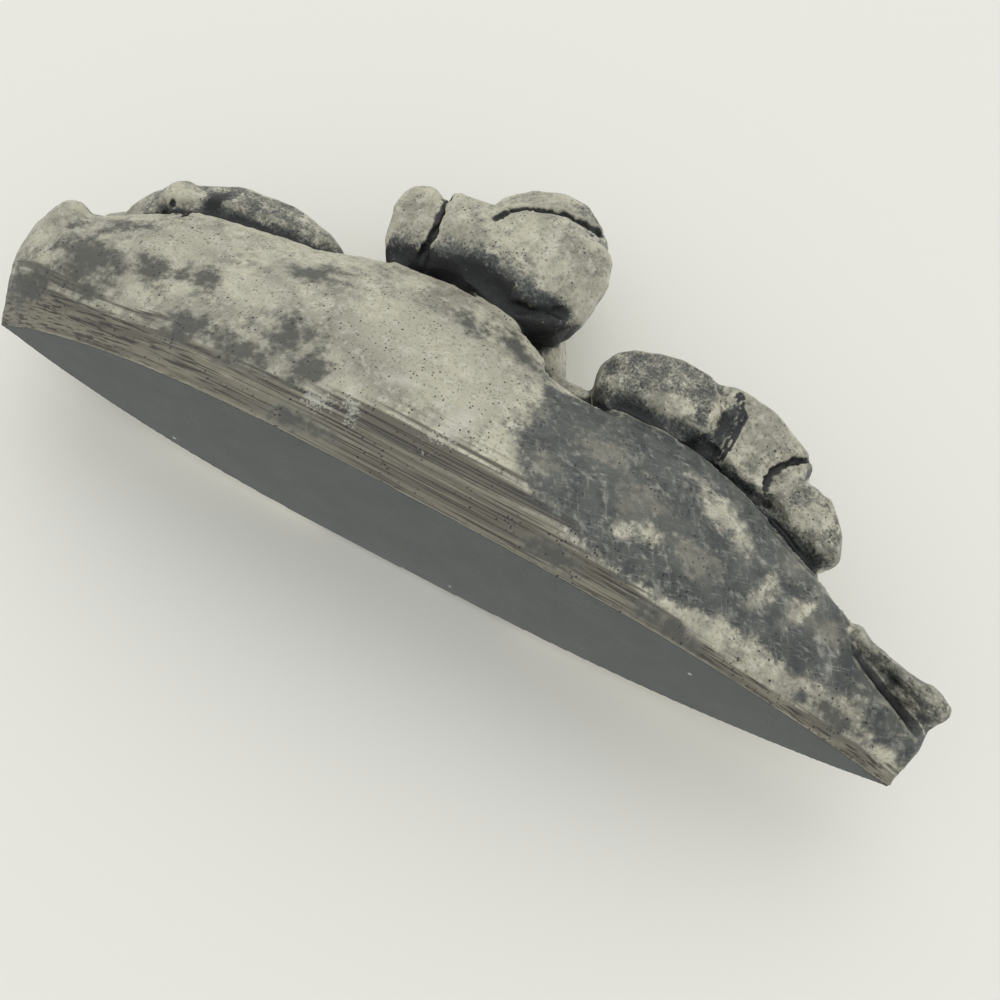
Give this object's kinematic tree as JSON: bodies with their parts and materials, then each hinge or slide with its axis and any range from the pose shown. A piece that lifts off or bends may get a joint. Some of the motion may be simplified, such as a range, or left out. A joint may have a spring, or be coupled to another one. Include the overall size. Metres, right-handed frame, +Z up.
{
  "type": "soapstone hunter sculpture",
  "caption": "One-piece stone carving of a hooded hunter crawling along an ice ridge towards a seal, on a flat lens-shaped foot.",
  "frame": {"origin": "middle of the flat underside", "axes": "+Z up from the underside, +X along the ridge towards the seal, -Y towards the carved front"},
  "size_m": [0.2505, 0.0598, 0.1078],
  "materials": {
    "stone": "worn satin soapstone, pale beige over dark grey, black in the recesses"
  },
  "bodies": {
    "root": {"hunter_sculpture": "stone"}
  },
  "joints": []
}
